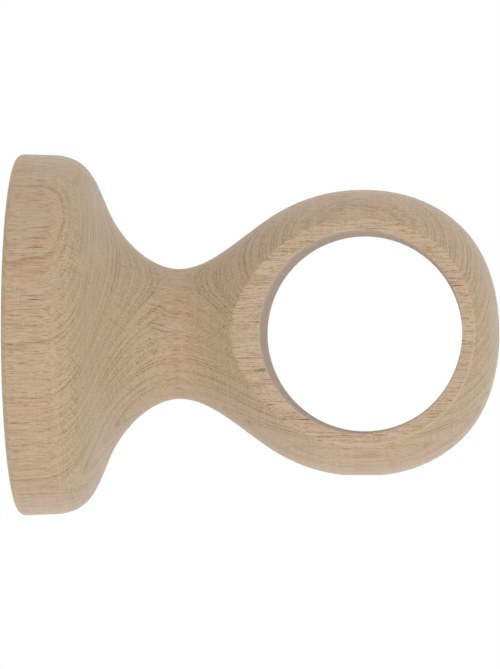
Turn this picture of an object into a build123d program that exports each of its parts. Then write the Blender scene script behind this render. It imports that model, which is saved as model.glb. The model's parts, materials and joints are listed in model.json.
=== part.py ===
from build123d import *
import os
from math import cos, radians, sin, tan

# Turned beech curtain-pole bracket that screws onto a stud on its wall plate.
# The origin is the centre of the wall plane, +X points out from the wall, +Y runs along the pole and +Z is up.

# Pole and ring
pole_diameter = 28.0
pole_clearance = 1.2
pole_reach = 52.8
ring_wall = 6.7
ring_thickness = 27.6
mouth_rounding = 0.2
flat_rounding = 0.5
end_flattening = 1.05
# How far the ring's outline stands outside a plain circle, by its angle from the outward direction
haunch_angle = 125.5
haunch_fullness = 0.65
temple_angle = 66.5
temple_fullness = 0.25
cheek_angle = 40.0
cheek_fullness = 0.15

# Base and neck
base_diameter = 55.5
back_rounding = 1.1
rim_width = 5.6
rim_taper = 0.2
shoulder_run = 3.4
shoulder_drop = 0.85
flare_run = 8.7
flare_drop = 9.6
neck_distance = 24.05
neck_diameter = 20.0

# Wall plate with two countersunk screw holes
plate_diameter = 38.0
plate_thickness = 2.5
plate_chamfer = 0.4
plate_clearance = 0.5
wall_screw_spacing = 26.0
wall_screw_hole = 4.5
wall_screw_head = 8.0
wall_screw_head_angle = 90.0

# M6 stud pressed into the plate, head flush with the plate's back
stud_diameter = 6.0
stud_pitch = 1.0
stud_head_diameter = 9.0
stud_head_height = 1.4
stud_point = 0.8

# Packing washer on the stud
washer_diameter = 14.0
washer_thickness = 1.0
washer_clearance = 0.2

# M6 insert nut let into the floor of the base's recess
insert_diameter = 10.0
insert_length = 12.0
insert_flange_diameter = 15.0
insert_flange_height = 1.5
insert_pitch = 2.5
insert_thread_depth = 0.75
insert_drive_depth = 3.0
stud_running_clearance = 0.05
stud_hole_clearance = 0.5
stud_end_room = 2.0
drill_point_angle = 118.0

# M4 set screw and its bush in the underside of the ring
screw_diameter = 4.0
screw_pitch = 0.7
screw_length = 5.0
screw_tip_setback = 0.6
screw_point = 0.5
screw_socket_width = 2.0
screw_socket_depth = 2.0
screw_running_clearance = 0.05
screw_hole_clearance = 0.2
bush_diameter = 6.0
bush_length = 4.8
bush_seat = 0.9
bush_barb_pitch = 1.2
bush_barb_depth = 0.25
bush_hole_lead = 0.5

# Depth of a metric thread for each millimetre of its pitch
thread_depth_ratio = 0.61

base_radius = base_diameter / 2
rim_radius = base_radius - rim_taper
neck_radius = neck_diameter / 2
bore_radius = pole_diameter / 2 + pole_clearance
ring_radius = bore_radius + ring_wall
stud_radius = stud_diameter / 2
screw_radius = screw_diameter / 2
bush_radius = bush_diameter / 2
recess_depth = plate_thickness + washer_thickness
insert_end = recess_depth + insert_length
stud_end = insert_end + stud_point
bush_start = bore_radius + bush_seat
bush_end = bush_start + bush_length
screw_start = bore_radius + screw_tip_setback
screw_end = screw_start + screw_length

# Half sections across the set screw are drawn by distance below the pole's axis and radius about the screw
screw_axis = Axis((pole_reach, 0, 0), (0, 0, -1))
screw_plane = Plane(origin=(pole_reach, 0, 0), x_dir=(0, 0, -1), z_dir=(0, 1, 0))


def zigzag(start, end, pitch, root, crest):
    """Points (distance, radius) along a stretch with ring-shaped ridges in its middle and plain ends."""
    ridges = int((end - start) / pitch - 0.5)
    first = (start + end - ridges * pitch) / 2
    points = [(start, root)]
    for ridge in range(ridges):
        points.append((first + ridge * pitch, root))
        points.append((first + (ridge + 0.5) * pitch, crest))
    points.append((first + ridges * pitch, root))
    points.append((end, root))
    return points


def ring_point(angle, fullness):
    """Point of the turned outline at an angle round the pole's axis, from the outward direction."""
    radius = ring_radius + fullness
    return (pole_reach + radius * cos(radians(angle)), radius * sin(radians(angle)))


# Outer half section of the insert, which the hole in the wood repeats
insert_outline = [
    (recess_depth, insert_flange_diameter / 2),
    (recess_depth + insert_flange_height, insert_flange_diameter / 2),
]
insert_outline += zigzag(
    recess_depth + insert_flange_height,
    insert_end,
    insert_pitch,
    insert_diameter / 2,
    insert_diameter / 2 + insert_thread_depth,
)

with BuildPart() as bracket_body:
    # Base, neck and ball-shaped ring turned in one piece
    with BuildSketch(Plane.XZ) as turned_section:
        with BuildLine():
            Line((0, 0), (0, base_radius))
            rim = Line((0, base_radius), (rim_width, rim_radius))
            turned_outline = Spline(
                (rim_width, rim_radius),
                (rim_width + shoulder_run, rim_radius - shoulder_drop),
                (rim_width + flare_run, rim_radius - flare_drop),
                (neck_distance, neck_radius),
                ring_point(haunch_angle, haunch_fullness),
                ring_point(90, 0),
                ring_point(temple_angle, temple_fullness),
                ring_point(cheek_angle, cheek_fullness),
                (pole_reach + ring_radius - end_flattening, 0),
                tangents=(rim % 1, (0, -1)),
                tangent_scalars=(1, 1),
            )
            Line(turned_outline @ 1, (0, 0))
        make_face()
        back_corner = turned_section.vertices().group_by(Axis.X)[0].sort_by(Axis.Y)[-1]
        fillet(back_corner, back_rounding)
    revolve(axis=Axis.X)
    # Two flats across the ring, and the bore for the pole
    for side in (1, -1):
        with BuildSketch(Plane.XZ.offset(side * ring_thickness / 2)):
            with Locations((pole_reach, 0)):
                Rectangle(2 * (pole_reach - neck_distance), 3 * ring_radius)
        extrude(amount=side * ring_radius, mode=Mode.SUBTRACT)
    fillet(bracket_body.faces().filter_by(Axis.Y).edges(), flat_rounding)
    with BuildSketch(Plane.XZ):
        with Locations((pole_reach, 0)):
            Circle(bore_radius)
    extrude(amount=ring_thickness, both=True, mode=Mode.SUBTRACT)
    mouths = bracket_body.faces().filter_by(Axis.Y).edges().filter_by(GeomType.CIRCLE)
    fillet(mouths, mouth_rounding)
    # Recess for the wall plate, seat of the insert and drilled hole for the stud's end
    stud_hole_radius = stud_radius + stud_hole_clearance
    stud_hole_end = stud_end + stud_end_room
    drill_point = stud_hole_radius / tan(radians(drill_point_angle / 2))
    recess_radius = plate_diameter / 2 + plate_clearance
    with BuildSketch(Plane.XZ):
        with BuildLine():
            Polyline(
                (0, 0),
                (0, recess_radius),
                (recess_depth, recess_radius),
                *insert_outline,
                (insert_end, stud_hole_radius),
                (stud_hole_end, stud_hole_radius),
                (stud_hole_end + drill_point, 0),
                close=True,
            )
        make_face()
    revolve(axis=Axis.X, mode=Mode.SUBTRACT)
    # Hole for the set screw's tip and its bush, with a chamfered mouth
    tip_hole_radius = screw_radius + screw_hole_clearance
    with BuildSketch(screw_plane):
        with BuildLine():
            Polyline(
                (0, 0),
                (0, tip_hole_radius),
                (bush_start, tip_hole_radius),
                (bush_start, bush_radius),
                (ring_radius - bush_hole_lead, bush_radius),
                (ring_radius + ring_wall, bush_radius + ring_wall + bush_hole_lead),
                (ring_radius + ring_wall, 0),
                close=True,
            )
        make_face()
    revolve(axis=screw_axis, mode=Mode.SUBTRACT)

with BuildPart() as threaded_insert:
    insert_bore_radius = stud_radius + stud_running_clearance
    with BuildSketch(Plane.XZ):
        with BuildLine():
            Polyline(
                (recess_depth, insert_bore_radius),
                *insert_outline,
                (insert_end, insert_bore_radius),
                close=True,
            )
        make_face()
    revolve(axis=Axis.X)
    # Hex drive round the mouth of the thread
    with BuildSketch(Plane.YZ.offset(recess_depth)):
        RegularPolygon(insert_bore_radius, 6, major_radius=False)
    extrude(amount=insert_drive_depth, mode=Mode.SUBTRACT)

with BuildPart() as wall_plate:
    with BuildSketch(Plane.YZ):
        Circle(plate_diameter / 2)
    extrude(amount=plate_thickness)
    chamfer(wall_plate.edges().sort_by(Axis.X)[-1], plate_chamfer)
    with Locations(Plane.YZ.offset(plate_thickness)):
        with GridLocations(0, wall_screw_spacing, 1, 2):
            CounterSinkHole(
                wall_screw_hole / 2, wall_screw_head / 2, counter_sink_angle=wall_screw_head_angle
            )
    with Locations(-Plane.YZ):
        CounterBoreHole(stud_radius, stud_head_diameter / 2, stud_head_height)

with BuildPart() as mounting_stud:
    stud_root = stud_radius - thread_depth_ratio * stud_pitch
    with BuildSketch(Plane.XZ):
        with BuildLine():
            Polyline(
                (0, 0),
                (0, stud_head_diameter / 2),
                (stud_head_height, stud_head_diameter / 2),
                (stud_head_height, stud_radius),
                (plate_thickness, stud_radius),
                *zigzag(plate_thickness, insert_end, stud_pitch, stud_root, stud_radius),
                (stud_end, stud_root - stud_point),
                (stud_end, 0),
                close=True,
            )
        make_face()
    revolve(axis=Axis.X)

with BuildPart() as packing_washer:
    with BuildSketch(Plane.YZ.offset(plate_thickness)):
        Circle(washer_diameter / 2)
        Circle(stud_radius + washer_clearance, mode=Mode.SUBTRACT)
    extrude(amount=washer_thickness)

with BuildPart() as set_screw_bush:
    bush_bore_radius = screw_radius + screw_running_clearance
    with BuildSketch(screw_plane):
        with BuildLine():
            Polyline(
                (bush_start, bush_bore_radius),
                *zigzag(bush_start, bush_end, bush_barb_pitch, bush_radius, bush_radius - bush_barb_depth),
                (bush_end, bush_bore_radius),
                close=True,
            )
        make_face()
    revolve(axis=screw_axis)

with BuildPart() as pole_set_screw:
    screw_root = screw_radius - thread_depth_ratio * screw_pitch
    with BuildSketch(screw_plane):
        with BuildLine():
            Polyline(
                (screw_start, 0),
                (screw_start, screw_root - screw_point),
                *zigzag(screw_start + screw_point, screw_end, screw_pitch, screw_root, screw_radius),
                (screw_end, 0),
                close=True,
            )
        make_face()
    revolve(axis=screw_axis)
    # Hex socket in the outer end
    with BuildSketch(Plane(origin=(pole_reach, 0, -screw_end), z_dir=(0, 0, -1))):
        RegularPolygon(screw_socket_width / 2, 6, major_radius=False)
    extrude(amount=-screw_socket_depth, mode=Mode.SUBTRACT)

pieces = {
    "bracket_body": bracket_body,
    "threaded_insert": threaded_insert,
    "wall_plate": wall_plate,
    "mounting_stud": mounting_stud,
    "packing_washer": packing_washer,
    "set_screw_bush": set_screw_bush,
    "pole_set_screw": pole_set_screw,
}
os.makedirs("parts", exist_ok=True)
for name, piece in pieces.items():
    piece.part.label = name
    export_step(piece.part, f"parts/{name}.step")
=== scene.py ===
import bpy
import json
from math import cos, radians, sin
from types import SimpleNamespace
from mathutils import Euler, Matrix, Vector


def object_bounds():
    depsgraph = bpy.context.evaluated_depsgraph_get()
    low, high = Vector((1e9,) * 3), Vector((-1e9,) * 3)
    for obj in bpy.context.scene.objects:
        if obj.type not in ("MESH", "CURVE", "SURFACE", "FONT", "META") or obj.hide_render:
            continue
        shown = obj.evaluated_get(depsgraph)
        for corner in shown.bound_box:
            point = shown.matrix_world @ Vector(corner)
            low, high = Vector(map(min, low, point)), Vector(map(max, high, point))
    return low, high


# Turned beech curtain-pole bracket in soft studio light, seen along the pole.
# +X points out from the wall, +Y runs along the pole and +Z is up.
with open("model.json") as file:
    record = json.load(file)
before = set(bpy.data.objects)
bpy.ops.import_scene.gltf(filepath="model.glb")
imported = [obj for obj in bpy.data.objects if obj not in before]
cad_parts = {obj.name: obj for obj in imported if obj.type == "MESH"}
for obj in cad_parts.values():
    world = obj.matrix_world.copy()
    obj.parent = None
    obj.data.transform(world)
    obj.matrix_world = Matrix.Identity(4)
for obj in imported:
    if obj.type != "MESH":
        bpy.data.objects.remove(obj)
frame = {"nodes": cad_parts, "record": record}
cad_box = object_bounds()

# Millimetres in a metre
metre = 1000

# Camera, by the photograph's frame, in metres and degrees
photo_height = 669
pixel_size = 0.0001532
camera_aim = (0.03551, 0, -0.00014)
camera_distance = 0.667
camera_azimuth = 2.8
camera_elevation = -0.607
camera_roll = 0.277
sensor_size = 36.0

# Light and stage, in metres and watts
sky_strength = 0.78
backdrop_strength = 1.0
floor_drop = 0.9
floor_radius = 12.0
floor_corners = 96
floor_colour = (0.9, 0.9, 0.9, 1)
floor_roughness = 0.9
floor_glow = 0.18
floor_white = 0.4
front_light_size = 1.2
front_light_power = 4.6
front_light_place = (0.45, -1.6, -0.05)
side_light_size = 0.9
side_light_power = 1.2
side_light_place = (1.3, -0.35, 0.15)
white = (1, 1, 1, 1)

# Bore and flats of the ring, in millimetres
mounts = {mount["name"]: mount for mount in frame["record"]["mounts"]}
pole_reach = mounts["pole_bore"]["pos_m"][0] * metre
bore_radius = mounts["pole_bore"]["dims"]["r_mm"]
mouth_rounding = 0.2
flat_rounding = 0.5
flat_depth = mounts["pole_bore"]["dims"]["length_mm"] / 2 + mouth_rounding

# Zones of the wood's surface, by place in millimetres
bore_margin = 0.05
mouth_margin = 0.15
bore_limit = bore_radius + bore_margin
mouth_limit = bore_radius + mouth_rounding + mouth_margin
limit_blend = 0.1
flat_start = flat_depth - flat_rounding
flat_blend = 0.2
ring_start = 22.0
ring_blend = 4.0
# Side of the outer arris that gets a painted highlight: below and beyond the pole
arris_highlight_side = (4, 14)

# Limits of those zones, by the part of the surface's normal along one axis
end_grain_cut = (0.15, 0.75)
ray_cut = (0.5, 0.8)
flat_facing = (0.6, 0.95)
edge_facing = (0.98, 0.999)
# Part of the outer arris's rounding that gets the painted highlight
arris_highlight_facing = (0.75, 0.93)

# Growth layers of the beech, in millimetres and degrees, counted out from a fold below the front
growth_angle = 41.0
growth_rate = 0.45
growth_gain = 0.0055
first_layer = -0.1
fold_depth = 3.5
fold_width = 5.5
side_slope = 0.05
skew = 0.0095
skew_start = 9.0
skew_end = 22.0
skew_middle = 20.0
skew_blend = 5.0
lean_years = 0.3
year_cycle = 1.6
year_turn = -1.94
waviness = 0.4
jaggedness = 0.03

# Course of each layer from its start at 0 to its end at 1: where its line climbs, is full and drops
line_course = (0.82, 0.95, 0.965)
faint_line_course = (0.6, 0.9, 0.93)
darkening_course = (0.3, 0.93, 0.95)
faint_lines = 2
faint_line_shift = 0.45
vigour_cycle = 2.9
vigour_turn = -1.6

# Strength of the growth lines, with distances from the wall in millimetres
line_strength = 0.82
darkening_strength = 0.1
weakest_year = 0.4
base_line = 0.8
ring_line = 0.5
line_fade = (30, 42)
end_grain_line = 1.15
side_faint_line = 0.35
end_grain_faint_line = 0.85
full_end_grain = 0.6
weakest_patch = 0.3

# Lengths of the wood's marks in millimetres: along the fibres, across the layers and along the layers
fibre_size = (4.0, 0.16, 0.16)
speckle_size = (0.4, 0.2, 0.2)
tear_size = (3.5, 1.0, 1.0)
streak_size = (6.0, 0.8, 0.8)
cloud_size = (30, 4, 6)
wave_size = (30, 9, 9)
patch_size = (12, 3, 5)
ray_size = (5.6, 9.0, 0.26)
vessel_size = (1.8, 0.22, 0.22)

# Lengths of the tools' marks in the wood along X, Y and Z, in millimetres
lathe_mark_size = (0.28, 30, 30)
drill_mark_size = (30, 2.4, 30)

# Rays and vessels: radius by the size of their cell, share that is missing, strength and depth
ray_radius = 0.38
turned_ray_rarity = 0.45
sawn_ray_rarity = 0.7
strongest_ray = 0.6
vessel_radius = 0.45
vessel_rarity = 0.3
turned_vessel = 0.55
sawn_vessel = 0.2
end_grain_fleck = 0.7
fleck_depth = 0.6

# Lens-shaped marks: reach of the full core and of the pale margin, by the mark's radius, and their strength
core_reach = 0.5
margin_reach = 1.6
core_strength = 1.4
margin_strength = 0.35

# How far the marks deepen the wood's brown, where less than 0 is paler
resting_tone = 0.12
grain_tone = 0.42
turned_fleck_tone = 0.6
sawn_fleck_tone = 1.5
fibre_tone = 1.3
torn_fibre_tone = 1.3
side_speckle_tone = 0.45
end_grain_speckle_tone = 0.85
lathe_tone = 0.22
drill_tone = 0.5
# Mouths of the bore: paler sanded fibres with a painted highlight
pale_mouth_and_highlight_tone = -0.2
# Painted highlight on the lower outer arris
arris_highlight_tone = -0.3

# Colours of the beech, and how fully some of them cover the wood
pink_wood = (0.572, 0.388, 0.246, 1)
yellow_wood = (0.538, 0.42, 0.292, 1)
cloudy_wood = (0.56, 0.412, 0.274, 1)
torn_wood = (0.59, 0.45, 0.33, 1)
end_grain_wood = (0.53, 0.405, 0.268, 1)
# Bore's wood, brightened and warmed as a painted fill against its shade and grey sheen
bore_wood_with_painted_fill = (0.555, 0.396, 0.24, 1)
# Pale grey of the bore's mouths: sanded fibres with a painted highlight
pale_mouth_and_highlight_colour = (0.54, 0.45, 0.365, 1)
deep_wood = (0.21, 0.112, 0.038, 1)
cloud_cover = 0.6
torn_cover = 0.6
pale_mouth_and_highlight_cover = 0.8

# Ranges of a noise, within 0 to 1, over which its marks come in
narrow_range = (0.3, 0.7)
wide_range = (0.2, 0.8)
tear_range = (0.4, 0.6)
patch_range = (0.3, 0.6)
metal_mark_range = (0.45, 0.8)
rubbing_range = (0.2, 0.6)

# Likeness of the rounded and the true normal, from a sharp edge to an open face
edge_likeness = (0.75, 0.98)

# Relief of the finishes and width of their rubbed edges, in metres
wood_relief = 0.00004
metal_relief = 0.00001
fibre_relief = 0.00003
edge_wear = 0.0002
fine_edge_wear = 0.0001

# Lengths of the marks in metal and fibre, in millimetres
rolling_mark_size = (1.0, 14.0, 0.16)
turning_mark_size = (0.1, 0.1, 1.0)
brass_mark_size = (0.08, 0.08, 1.0)
casting_grain_size = (0.3, 0.3, 0.3)
metal_cloud_size = (3.0, 3.0, 3.0)
mottle_size = (0.5, 0.5, 0.5)
hair_size = (0.3, 1.2, 0.15)

# Marks of the metal: share of colour and of rubbing left in them, and change of roughness
marked_shade = 0.55
marked_rubbing = 0.3
smoother = 0.1
rougher = 0.12

# Hairs of the fibre washer: radius by the size of their cell, share that is missing and cover
hair_radius = 0.4
hair_rarity = 0.5
hair_cover = 0.5

# Colours of the fibre washer, and cover of the one along its rubbed edges
fresh_fibre = (0.23, 0.055, 0.035, 1)
dark_fibre = (0.15, 0.032, 0.022, 1)
pale_hair = (0.36, 0.14, 0.09, 1)
rubbed_fibre = (0.34, 0.12, 0.08, 1)
rubbed_cover = 0.5


class Shader:
    """Node tree of one material, with short calls for the nodes that the finishes share."""

    def __init__(self, name):
        self.material = bpy.data.materials.new(name)
        self.material.use_nodes = True
        self.tree = self.material.node_tree
        self.surface = self.tree.nodes["Principled BSDF"]
        place = self.add("ShaderNodeTexCoord", {}).outputs
        self.normal = place["Normal"]
        self.millimetres = self.scaled(place["Object"], (metre, metre, metre))

    def add(self, kind, inputs, **settings):
        """New node with its settings, and its inputs given as values or as other nodes' outputs."""
        made = self.tree.nodes.new(kind)
        for name, value in settings.items():
            setattr(made, name, value)
        self.fill(made, inputs)
        return made

    def fill(self, made, inputs):
        """Sets a node's inputs, named by their identifiers."""
        sockets = {socket.identifier: socket for socket in made.inputs}
        for name, value in inputs.items():
            if isinstance(value, bpy.types.NodeSocket):
                self.tree.links.new(value, sockets[name])
            else:
                sockets[name].default_value = value

    def math(self, operation, first, second=0.0, third=0.0):
        """Output of a sum, product or other operation on numbers."""
        inputs = {"Value": first, "Value_001": second, "Value_002": third}
        return self.add("ShaderNodeMath", inputs, operation=operation).outputs[0]

    def product(self, first, second):
        """First times second."""
        return self.math("MULTIPLY", first, second)

    def weighted(self, value, weight, total):
        """Total plus a weighted value."""
        return self.math("MULTIPLY_ADD", value, weight, total)

    def swing(self, noise, weight, total):
        """Total plus the weighted swing of a noise about its middle."""
        return self.weighted(self.math("SUBTRACT", noise, 0.5), weight, total)

    def length(self, first, second):
        """Length of the vector with these two parts."""
        return self.math("SQRT", self.weighted(first, first, self.product(second, second)))

    def scaled(self, vector, scale):
        """Coordinates multiplied axis by axis."""
        return self.add("ShaderNodeMapping", {"Vector": vector, "Scale": scale}).outputs[0]

    def turned(self, vector, angle):
        """Coordinates turned about X by an angle in degrees."""
        inputs = {"Vector": vector, "Rotation": (radians(angle), 0, 0)}
        return self.add("ShaderNodeMapping", inputs).outputs[0]

    def axes(self, vector):
        """Outputs X, Y and Z of a vector."""
        return self.add("ShaderNodeSeparateXYZ", {"Vector": vector}).outputs

    def noise(self, vector, lengths, detail=2.0, roughness=0.5):
        """Cloudy noise from 0 to 1 whose features have these lengths along the axes."""
        inputs = {
            "Vector": self.scaled(vector, [1 / length for length in lengths]),
            "Scale": 1.0,
            "Detail": detail,
            "Roughness": roughness,
        }
        return self.add("ShaderNodeTexNoise", inputs).outputs[0]

    def grade(self, value, low, high, start=0.0, end=1.0):
        """Value between low and high spread smoothly from start to end."""
        inputs = {"Value": value, "From Min": low, "From Max": high, "To Min": start, "To Max": end}
        return self.add("ShaderNodeMapRange", inputs, interpolation_type="SMOOTHSTEP").outputs[0]

    def zoned(self, zone, outside, inside):
        """One value outside a zone and another inside it."""
        return self.grade(zone, 0, 1, outside, inside)

    def patches(self, noise, most=1.0):
        """Soft patches from 0 to most, from the middle of a noise's range."""
        return self.grade(noise, *narrow_range, 0, most)

    def spread(self, noise, start, end):
        """Value from start to end over most of a noise's range."""
        return self.grade(noise, *wide_range, start, end)

    def tint(self, factor, first, second):
        """Colour between two colours."""
        inputs = {"Factor_Float": factor, "A_Color": first, "B_Color": second}
        mixed = self.add("ShaderNodeMix", inputs, data_type="RGBA")
        return next(socket for socket in mixed.outputs if socket.identifier == "Result_Color")

    def bump(self, height, distance):
        """Normals of a surface raised by a height from 0 to 1 over this distance in metres."""
        return self.add("ShaderNodeBump", {"Height": height, "Distance": distance}).outputs[0]

    def edges(self, radius):
        """1 along sharp edges, to this radius in metres, and 0 on open faces."""
        rounded = self.add("ShaderNodeBevel", {"Radius": radius}, samples=8).outputs[0]
        sharp = self.add("ShaderNodeNewGeometry", {}).outputs["Normal"]
        inputs = {"Vector": rounded, "Vector_001": sharp}
        likeness = self.add("ShaderNodeVectorMath", inputs, operation="DOT_PRODUCT").outputs["Value"]
        return self.grade(likeness, *edge_likeness, 1, 0)


def beech():
    """Raw turned beech: growth layers, wood rays, vessels and fine fibres along X."""
    shader = Shader("raw_beech")
    trunk = shader.turned(shader.millimetres, growth_angle)
    zones = wood_zones(shader)
    marks = wood_marks(shader, trunk, zones)
    tone = wood_tone(shader, zones, marks)
    shader.fill(shader.surface, {
        "Base Color": shader.tint(tone, pale_wood(shader, trunk, zones, marks), deep_wood),
        "Roughness": shader.spread(marks.fibres, 0.55, 0.7),
        "Specular IOR Level": 0.3,
        "Sheen Weight": 0.32,
        "Sheen Roughness": 0.35,
        "Normal": shader.bump(shader.weighted(marks.flecks, -fleck_depth, marks.fibres), wood_relief),
    })
    return shader.material


def wood_zones(shader):
    """How far each point lies in each zone of the wood's surface, from 0 to 1."""
    place = shader.axes(shader.millimetres)
    cut = shader.axes(shader.turned(shader.normal, growth_angle))
    facing = shader.math("ABSOLUTE", shader.axes(shader.normal)["Y"])
    beyond = shader.math("SUBTRACT", place["X"], pole_reach)
    from_pole = shader.length(beyond, place["Z"])
    level = flat_level(shader, place)
    # Rounded edges of the flats: the mouths of the bore, paler from sanded fibres with a painted highlight,
    # and a painted highlight on the outer arris below and beyond the pole
    edge = shader.product(level, shader.grade(facing, *edge_facing, 1, 0))
    pale_mouth_and_highlight = shader.product(edge, shader.grade(from_pole, mouth_limit, mouth_limit + limit_blend, 1, 0))
    # Painted highlight on the outer arris, kept to the side below and beyond the pole
    arris_highlight = shader.product(shader.math("SUBTRACT", edge, pale_mouth_and_highlight), shader.grade(facing, *arris_highlight_facing))
    arris_highlight = shader.product(arris_highlight, shader.grade(shader.math("SUBTRACT", beyond, place["Z"]), *arris_highlight_side))
    return SimpleNamespace(
        end_grain=shader.grade(shader.math("ABSOLUTE", cut["X"]), *end_grain_cut),
        ray_side=shader.grade(shader.math("ABSOLUTE", cut["Z"]), *ray_cut, 1, 0),
        flat=shader.product(level, shader.grade(facing, *flat_facing)),
        bore=shader.grade(from_pole, bore_limit, bore_limit + limit_blend, 1, 0),
        pale_mouth_and_highlight=pale_mouth_and_highlight,
        arris_highlight=arris_highlight,
    )


def flat_level(shader, place):
    """1 at the depth of the ring's two flats, 0 elsewhere."""
    near = shader.grade(shader.math("ABSOLUTE", place["Y"]), flat_start, flat_start + flat_blend)
    return shader.product(near, shader.grade(place["X"], ring_start, ring_start + ring_blend))


def wood_marks(shader, trunk, zones):
    """Marks of growth and of the tools, from 0 to 1."""
    fibres = shader.noise(trunk, fibre_size, roughness=0.6)
    tears = shader.grade(shader.noise(trunk, tear_size), *tear_range)
    return SimpleNamespace(
        fibres=fibres,
        speckle=shader.noise(trunk, speckle_size, detail=1.0),
        lathe=shader.noise(shader.millimetres, lathe_mark_size),
        drill=shader.noise(shader.millimetres, drill_mark_size),
        torn=shader.product(zones.flat, tears),
        grain=growth_grain(shader, trunk, fibres, zones.end_grain),
        flecks=wood_flecks(shader, trunk, zones),
    )


def wood_tone(shader, zones, marks):
    """Depth of the wood's brown, from pale at 0 to deep at 1."""
    speckle_tone = shader.zoned(zones.end_grain, side_speckle_tone, end_grain_speckle_tone)
    speckle_tone = shader.math("MAXIMUM", zones.flat, speckle_tone)
    unturned = shader.math("MAXIMUM", zones.flat, zones.bore)
    tone = shader.weighted(marks.grain, grain_tone, resting_tone)
    tone = shader.weighted(marks.flecks, shader.zoned(zones.flat, turned_fleck_tone, sawn_fleck_tone), tone)
    tone = shader.swing(marks.fibres, shader.weighted(marks.torn, torn_fibre_tone, fibre_tone), tone)
    tone = shader.swing(marks.speckle, speckle_tone, tone)
    tone = shader.swing(marks.lathe, shader.zoned(unturned, lathe_tone, 0), tone)
    tone = shader.swing(marks.drill, shader.zoned(zones.bore, 0, drill_tone), tone)
    # Paler on the bore's mouths: sanded fibres with a painted highlight
    tone = shader.weighted(zones.pale_mouth_and_highlight, pale_mouth_and_highlight_tone, tone)
    # Paler along the painted highlight on the lower outer arris
    return shader.weighted(zones.arris_highlight, arris_highlight_tone, tone)


def pale_wood(shader, trunk, zones, marks):
    """Pale colour of the wood between its marks: pinkish and yellowish streaks, duller on end grain, lifted
    in the bore as a painted fill and paler on its mouths with a painted highlight.
    """
    streaks = shader.patches(shader.noise(trunk, streak_size))
    clouds = shader.patches(shader.noise(trunk, cloud_size), cloud_cover)
    pale = shader.tint(streaks, pink_wood, yellow_wood)
    pale = shader.tint(clouds, pale, cloudy_wood)
    pale = shader.tint(shader.product(marks.torn, torn_cover), pale, torn_wood)
    pale = shader.tint(zones.end_grain, pale, end_grain_wood)
    # Bore: wood brightened and warmed as a painted fill against its shade and grey sheen
    pale = shader.tint(zones.bore, pale, bore_wood_with_painted_fill)
    # Mouths of the bore: paler sanded fibres with a painted grey highlight
    return shader.tint(shader.product(zones.pale_mouth_and_highlight, pale_mouth_and_highlight_cover), pale, pale_mouth_and_highlight_colour)


def growth_layers(shader, trunk, fibres):
    """Number of the growth layer, counted out from a fold below the front, in good and lean years."""
    axes = shader.axes(trunk)
    outward = shader.math("SUBTRACT", fold_depth, axes["Y"])
    layer = shader.weighted(shader.length(outward, fold_width), growth_rate, -first_layer)
    layer = shader.weighted(shader.product(outward, outward), growth_gain, layer)
    along = shader.math("SMOOTH_MAX", axes["X"], skew_start, skew_blend)
    along = shader.math("SMOOTH_MIN", along, skew_end, skew_blend)
    slope = shader.weighted(along, skew, side_slope - skew * skew_middle)
    layer = shader.weighted(axes["Z"], slope, layer)
    year = shader.math("SINE", shader.weighted(layer, year_cycle, year_turn))
    layer = shader.weighted(year, lean_years, layer)
    layer = shader.swing(shader.noise(trunk, wave_size), waviness, layer)
    return shader.swing(fibres, jaggedness, layer)


def course(shader, phase, climb, full, drop):
    """Rises from 0 to 1 between climb and full, and drops back to 0 between drop and the layer's end."""
    return shader.product(shader.grade(phase, climb, full), shader.grade(phase, drop, 1.0, 1, 0))


def growth_grain(shader, trunk, fibres, end_grain):
    """Growth from 0 to 1: each layer darkens slowly and ends in a broken line, plainest on end grain."""
    layer = growth_layers(shader, trunk, fibres)
    phase = shader.math("FRACT", layer)
    vigour = shader.math("SINE", shader.weighted(shader.math("FLOOR", layer), vigour_cycle, vigour_turn))
    year = shader.grade(vigour, -1, 1, weakest_year, 1.0)
    side_line = shader.grade(shader.axes(trunk)["X"], *line_fade, base_line, ring_line)
    line = shader.product(course(shader, phase, *line_course), year)
    line = shader.product(line, shader.grade(end_grain, 0, full_end_grain, side_line, end_grain_line))
    # Fainter lines between the main ones
    faint_phase = shader.math("FRACT", shader.weighted(layer, faint_lines, faint_line_shift))
    faint = shader.grade(end_grain, 0, full_end_grain, side_faint_line, end_grain_faint_line)
    line = shader.weighted(course(shader, faint_phase, *faint_line_course), faint, line)
    patch = shader.grade(shader.noise(trunk, patch_size), *patch_range, weakest_patch, 1.0)
    line = shader.product(line, patch)
    darkening = course(shader, phase, *darkening_course)
    return shader.weighted(darkening, darkening_strength, shader.product(line, line_strength))


def wood_flecks(shader, trunk, zones):
    """Wood rays from 0 to 1, cut into short dashes along the fibres, and needle-shaped vessels."""
    rarity = shader.zoned(zones.flat, turned_ray_rarity, sawn_ray_rarity)
    rays = shader.product(lenses(shader, trunk, ray_size, ray_radius, rarity), zones.ray_side)
    rays = shader.math("MINIMUM", rays, strongest_ray)
    vessels = lenses(shader, trunk, vessel_size, vessel_radius, vessel_rarity)
    flecks = shader.weighted(vessels, shader.zoned(zones.flat, turned_vessel, sawn_vessel), rays)
    flecks = shader.product(flecks, shader.zoned(zones.end_grain, 1, end_grain_fleck))
    # No flecks under the painted highlight on the outer arris
    return shader.product(flecks, shader.math("SUBTRACT", 1, zones.arris_highlight))


def lenses(shader, vector, cell, radius, rarity):
    """Lens-shaped marks with pale margins, one in each cell, some strong and some missing."""
    inputs = {"Vector": shader.scaled(vector, [1 / length for length in cell]), "Scale": 1.0}
    cells = shader.add("ShaderNodeTexVoronoi", inputs).outputs
    chance = shader.add("ShaderNodeSeparateColor", {"Color": cells["Color"]}).outputs[0]
    core = shader.grade(cells["Distance"], radius * core_reach, radius, core_strength, 0)
    margin = shader.grade(cells["Distance"], radius, radius * margin_reach, margin_strength, 0)
    return shader.product(shader.math("SUBTRACT", core, margin), shader.grade(chance, rarity, 1.0))


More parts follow.
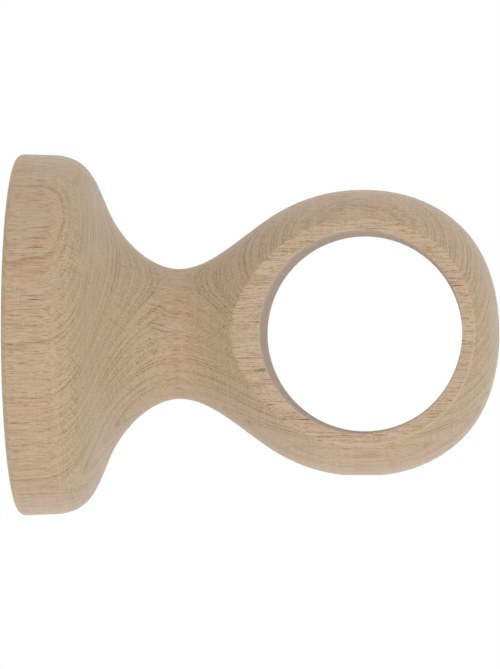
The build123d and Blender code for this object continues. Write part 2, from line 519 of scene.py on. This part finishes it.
def about_stud(shader):
    """Distance along the stud and from its axis, in millimetres."""
    place = shader.axes(shader.millimetres)
    inputs = {"X": place["X"], "Y": shader.length(place["Y"], place["Z"])}
    return shader.add("ShaderNodeCombineXYZ", inputs).outputs[0]


def about_screw(shader):
    """Distance along the set screw and from its axis, in millimetres."""
    place = shader.axes(shader.millimetres)
    across = shader.math("SUBTRACT", place["X"], pole_reach)
    inputs = {"X": place["Z"], "Y": shader.length(across, place["Y"])}
    return shader.add("ShaderNodeCombineXYZ", inputs).outputs[0]


def metal(shader, marks, fresh, dull, polished, roughness, wear=edge_wear):
    """Metal with fine tool marks, cloudy dulling and edges that are rubbed bright."""
    cloud = shader.noise(shader.millimetres, metal_cloud_size, detail=3.0, roughness=0.6)
    colour = shader.tint(shader.patches(cloud), fresh, dull)
    marked = [channel * marked_shade for channel in dull[:3]] + [1]
    colour = shader.tint(shader.grade(marks, *metal_mark_range), colour, marked)
    rubbed = shader.product(shader.edges(wear), shader.grade(marks, *rubbing_range, 1, marked_rubbing))
    shader.fill(shader.surface, {
        "Base Color": shader.tint(rubbed, colour, polished),
        "Metallic": 1.0,
        "Roughness": shader.spread(marks, roughness - smoother, roughness + rougher),
        "Normal": shader.bump(marks, metal_relief),
    })
    return shader.material


def zinc_plate():
    """Bright zinc plating over rolled steel, with straight rolling marks."""
    shader = Shader("zinc_plated_sheet")
    return metal(
        shader,
        shader.noise(shader.millimetres, rolling_mark_size, detail=3.0, roughness=0.6),
        fresh=(0.6, 0.62, 0.64, 1),
        dull=(0.5, 0.51, 0.5, 1),
        polished=(0.75, 0.76, 0.77, 1),
        roughness=0.34,
    )


def zinc_stud():
    """Zinc plating over turned steel, with turning marks about the stud's axis."""
    shader = Shader("zinc_plated_stud")
    return metal(
        shader,
        shader.noise(about_stud(shader), turning_mark_size, detail=3.0, roughness=0.6),
        fresh=(0.56, 0.57, 0.57, 1),
        dull=(0.44, 0.44, 0.42, 1),
        polished=(0.75, 0.76, 0.77, 1),
        roughness=0.3,
    )


def cast_zinc():
    """Plain zinc alloy casting with a grainy skin."""
    shader = Shader("cast_zinc")
    return metal(
        shader,
        shader.noise(shader.millimetres, casting_grain_size, detail=4.0, roughness=0.6),
        fresh=(0.5, 0.51, 0.53, 1),
        dull=(0.4, 0.4, 0.4, 1),
        polished=(0.66, 0.67, 0.69, 1),
        roughness=0.45,
    )


def turned_brass():
    """Turned brass with fine rings about the screw's axis."""
    shader = Shader("turned_brass")
    return metal(
        shader,
        shader.noise(about_screw(shader), brass_mark_size, detail=3.0, roughness=0.6),
        fresh=(0.7, 0.5, 0.22, 1),
        dull=(0.56, 0.36, 0.15, 1),
        polished=(0.85, 0.66, 0.34, 1),
        roughness=0.28,
    )


def black_oxide():
    """Black oxide over turned steel, rubbed grey along the edges."""
    shader = Shader("black_oxide")
    return metal(
        shader,
        shader.noise(about_screw(shader), turning_mark_size, detail=3.0, roughness=0.6),
        fresh=(0.05, 0.05, 0.055, 1),
        dull=(0.035, 0.03, 0.028, 1),
        polished=(0.3, 0.3, 0.31, 1),
        roughness=0.4,
        wear=fine_edge_wear,
    )


def red_fibre():
    """Red-brown vulcanised fibre: mottled, with short pale hairs and rubbed edges."""
    shader = Shader("red_fibre")
    mottle = shader.noise(shader.millimetres, mottle_size, detail=4.0, roughness=0.6)
    hairs = lenses(shader, shader.millimetres, hair_size, hair_radius, hair_rarity)
    rubbed = shader.product(shader.edges(edge_wear), rubbed_cover)
    colour = shader.tint(shader.patches(mottle), fresh_fibre, dark_fibre)
    colour = shader.tint(shader.product(hairs, hair_cover), colour, pale_hair)
    shader.fill(shader.surface, {
        "Base Color": shader.tint(rubbed, colour, rubbed_fibre),
        "Roughness": shader.spread(mottle, 0.55, 0.8),
        "Normal": shader.bump(mottle, fibre_relief),
    })
    return shader.material


def dress(node, material):
    """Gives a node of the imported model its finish."""
    mesh = frame["nodes"][node].data
    mesh.materials.clear()
    mesh.materials.append(material)


def add_camera():
    """Camera at the photograph's angle, with the frame's height across the sensor."""
    data = bpy.data.cameras.new("camera")
    data.sensor_width = sensor_size
    data.lens = sensor_size * camera_distance / (photo_height * pixel_size)
    azimuth = radians(camera_azimuth)
    elevation = radians(camera_elevation)
    away = Vector((sin(azimuth) * cos(elevation), -cos(azimuth) * cos(elevation), sin(elevation)))
    camera = bpy.data.objects.new("camera", data)
    camera.location = Vector(camera_aim) + away * camera_distance
    camera.rotation_mode = "QUATERNION"
    roll = Euler((0, 0, radians(-camera_roll))).to_quaternion()
    camera.rotation_quaternion = (-away).to_track_quat("-Z", "Y") @ roll
    bpy.context.scene.collection.objects.link(camera)
    bpy.context.scene.camera = camera


def seen_directly(tree):
    """1 on rays from the camera, off a gloss or through glass, and 0 on rays that light the object."""
    path = tree.nodes.new("ShaderNodeLightPath").outputs
    seen = path["Is Camera Ray"]
    for kind in ("Is Glossy Ray", "Is Transmission Ray"):
        either = tree.nodes.new("ShaderNodeMath")
        either.operation = "MAXIMUM"
        tree.links.new(seen, either.inputs[0])
        tree.links.new(path[kind], either.inputs[1])
        seen = either.outputs[0]
    return seen


def shine(tree, socket, lighting, seen):
    """Sets a strength to one value where it lights the object and to another where it is seen."""
    strength = tree.nodes.new("ShaderNodeMapRange")
    strength.inputs["To Min"].default_value = lighting
    strength.inputs["To Max"].default_value = seen
    tree.links.new(seen_directly(tree), strength.inputs["Value"])
    tree.links.new(strength.outputs[0], socket)


def add_sky():
    """Even white light from all round, plain white where it is seen."""
    world = bpy.data.worlds.new("sky")
    world.use_nodes = True
    background = world.node_tree.nodes["Background"].inputs
    background["Color"].default_value = white
    shine(world.node_tree, background["Strength"], sky_strength, backdrop_strength)
    bpy.context.scene.world = world


def add_floor():
    """Pale round floor well below the object, white where it is seen."""
    bpy.ops.mesh.primitive_circle_add(
        vertices=floor_corners,
        radius=floor_radius,
        fill_type="NGON",
        location=(camera_aim[0], 0, cad_box[0].z - floor_drop),
    )
    floor = bpy.context.object
    floor.name = "floor"
    material = bpy.data.materials.new("floor_white")
    material.use_nodes = True
    surface = material.node_tree.nodes["Principled BSDF"].inputs
    surface["Base Color"].default_value = floor_colour
    surface["Roughness"].default_value = floor_roughness
    surface["Specular IOR Level"].default_value = 0.0
    surface["Emission Color"].default_value = white
    shine(material.node_tree, surface["Emission Strength"], floor_glow, floor_white)
    floor.data.materials.append(material)


def add_light(name, size, power, place):
    """Square soft light aimed at the object, itself unseen by the camera."""
    data = bpy.data.lights.new(name, "AREA")
    data.size = size
    data.energy = power
    light = bpy.data.objects.new(name, data)
    light.location = place
    light.visible_camera = False
    aim = Vector(camera_aim) - light.location
    light.rotation_mode = "QUATERNION"
    light.rotation_quaternion = aim.to_track_quat("-Z", "Y")
    bpy.context.scene.collection.objects.link(light)


dress("bracket_body", beech())
dress("wall_plate", zinc_plate())
dress("mounting_stud", zinc_stud())
dress("threaded_insert", cast_zinc())
dress("packing_washer", red_fibre())
dress("set_screw_bush", turned_brass())
dress("pole_set_screw", black_oxide())
add_camera()
add_sky()
add_floor()
add_light("front_light", front_light_size, front_light_power, front_light_place)
add_light("side_light", side_light_size, side_light_power, side_light_place)
bpy.context.scene.view_settings.view_transform = "Standard"
